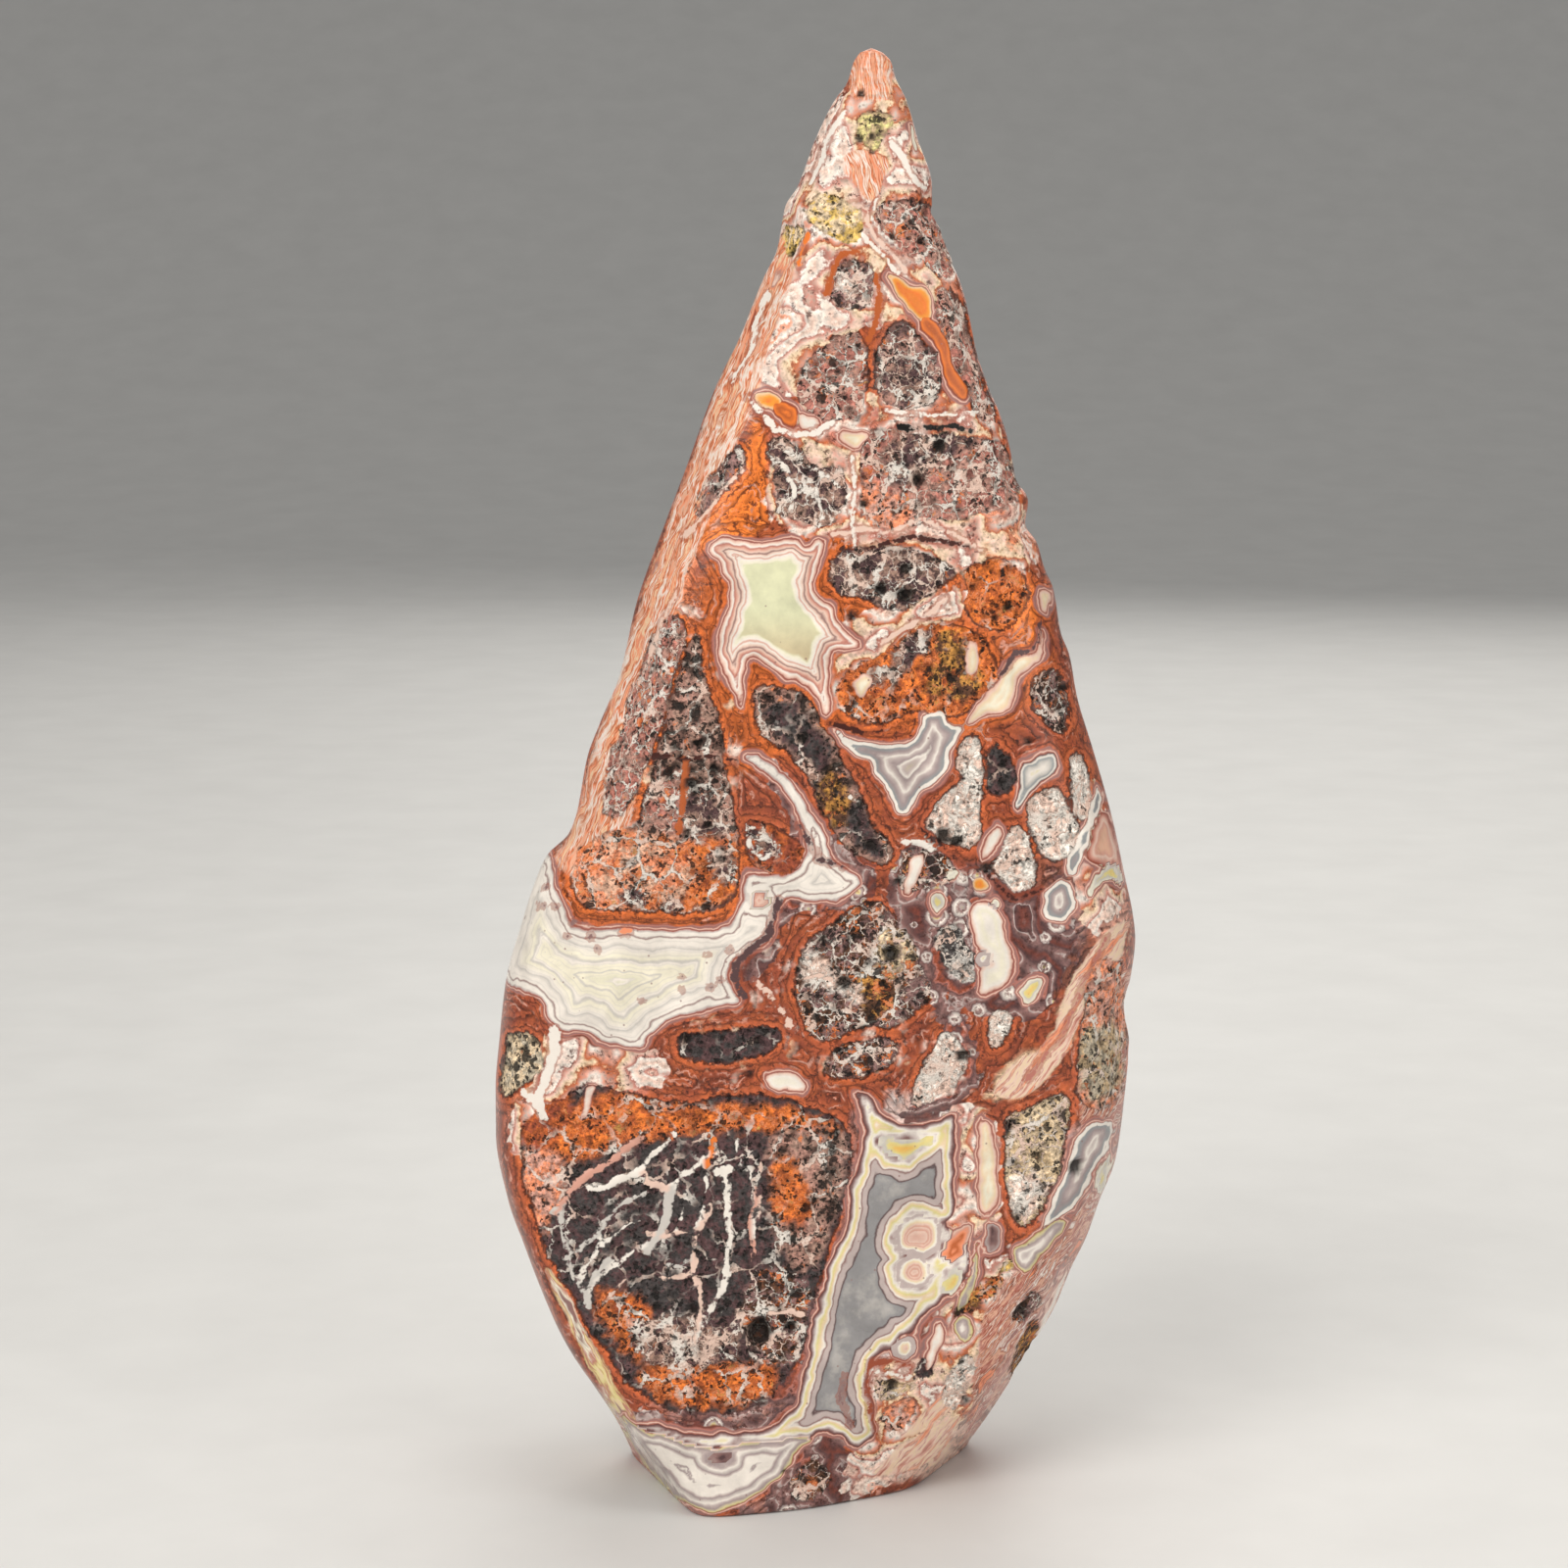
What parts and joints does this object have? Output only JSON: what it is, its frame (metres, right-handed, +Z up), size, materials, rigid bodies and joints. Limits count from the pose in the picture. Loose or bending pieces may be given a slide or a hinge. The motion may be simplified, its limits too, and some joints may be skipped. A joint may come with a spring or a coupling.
{
  "type": "agate flame tower",
  "caption": "Free-standing polished brecciated agate, ground to a leaning flame that comes to a rounded point above a flat foot.",
  "frame": {"origin": "centre of the stone's bounding box at the level of its flat foot, which is the surface it stands on", "axes": "+Z up from the foot to the tip; -Y out of the broad front face that the picture shows; +X to the right of that face"},
  "size_m": [0.0898, 0.044, 0.2],
  "materials": {
    "agate": "polished"
  },
  "bodies": {
    "root": {"agate_flame_tower": "agate"}
  },
  "joints": []
}
